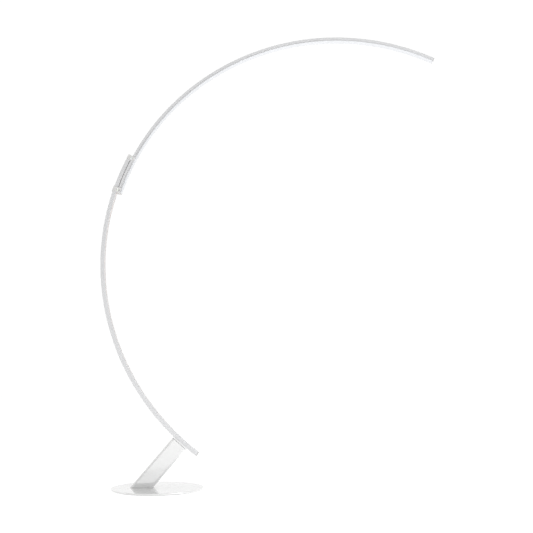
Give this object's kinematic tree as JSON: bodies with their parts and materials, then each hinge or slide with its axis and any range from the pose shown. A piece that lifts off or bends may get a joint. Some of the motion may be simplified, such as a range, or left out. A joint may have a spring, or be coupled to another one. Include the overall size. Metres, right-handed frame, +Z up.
{
  "type": "arc floor lamp",
  "caption": "White arc floor lamp: a round base, a slanted stem and nested bent profiles; the upper profile carries a light bar and slides along the lower one.",
  "frame": {"origin": "on the floor, at the middle of the round base's underside", "axes": "+Z up; the lamp's plane is XZ and the arc reaches towards +X; -Y is the front and the cord inlet faces +Y"},
  "size_m": [1.4272, 0.36, 1.9133],
  "materials": {
    "white_lacquered_profile": "smooth white powder coat on an aluminium extrusion",
    "white_lacquered_steel": "glossy white lacquer on steel",
    "bare_aluminium": "sawn and drilled, uncoated",
    "zinc_steel": "bright zinc plating",
    "nylon": "natural nylon, satin",
    "opal_acrylic": "opal acrylic, satin",
    "circuit_board": "white solder mask",
    "copper": "copper alloy, bright on the running faces",
    "black_foam": "dense black foam or felt",
    "grey_rubber": "grey cable sheath",
    "white_plastic": "white injection moulding, fine satin"
  },
  "bodies": {
    "stand": {"base_bolt_1": "zinc_steel", "base_bolt_2": "zinc_steel", "base_bolt_3": "zinc_steel", "base_bolt_4": "zinc_steel", "base_pad": "black_foam", "base_plate": "white_lacquered_steel", "contact_rail": "white_plastic", "cord_inlet": "white_plastic", "driver_tape": "black_foam", "foot_cap": "white_plastic", "guide_glide": "nylon", "guide_screw_1": "zinc_steel", "guide_screw_2": "zinc_steel", "led_driver": "white_plastic", "low_voltage_lead": "grey_rubber", "lower_arc": "white_lacquered_profile", "lower_arc_insert": "bare_aluminium", "rail_conductor_front": "copper", "rail_conductor_rear": "copper", "rail_terminal": "white_plastic", "saddle": "white_lacquered_steel", "saddle_bolt_1": "zinc_steel", "saddle_bolt_2": "zinc_steel", "slide_guide": "white_plastic", "stem_foot_block": "bare_aluminium", "stem_screw_1": "zinc_steel", "stem_screw_2": "zinc_steel", "stem_screw_3": "zinc_steel", "stem_screw_4": "zinc_steel", "stem_top_block": "bare_aluminium", "stem_tube": "white_lacquered_profile"},
    "sliding_arc": {"brake_pad": "black_foam", "collar_screw_front": "zinc_steel", "collar_screw_rear": "zinc_steel", "contact_brush_front": "copper", "contact_brush_rear": "copper", "contact_shoe": "white_plastic", "diffuser": "opal_acrylic", "led_strip": "circuit_board", "tail_collar": "white_plastic", "tail_glide": "nylon", "tip_cap": "white_plastic", "upper_arc": "white_lacquered_profile"}
  },
  "joints": [
    {"name": "arc_slide", "type": "hinge", "parent": "stand", "child": "sliding_arc", "pos_m": [0.73539, 0, 0.93435], "axis": [0, -1, 0], "range_deg": [-7, 60]}
  ]
}
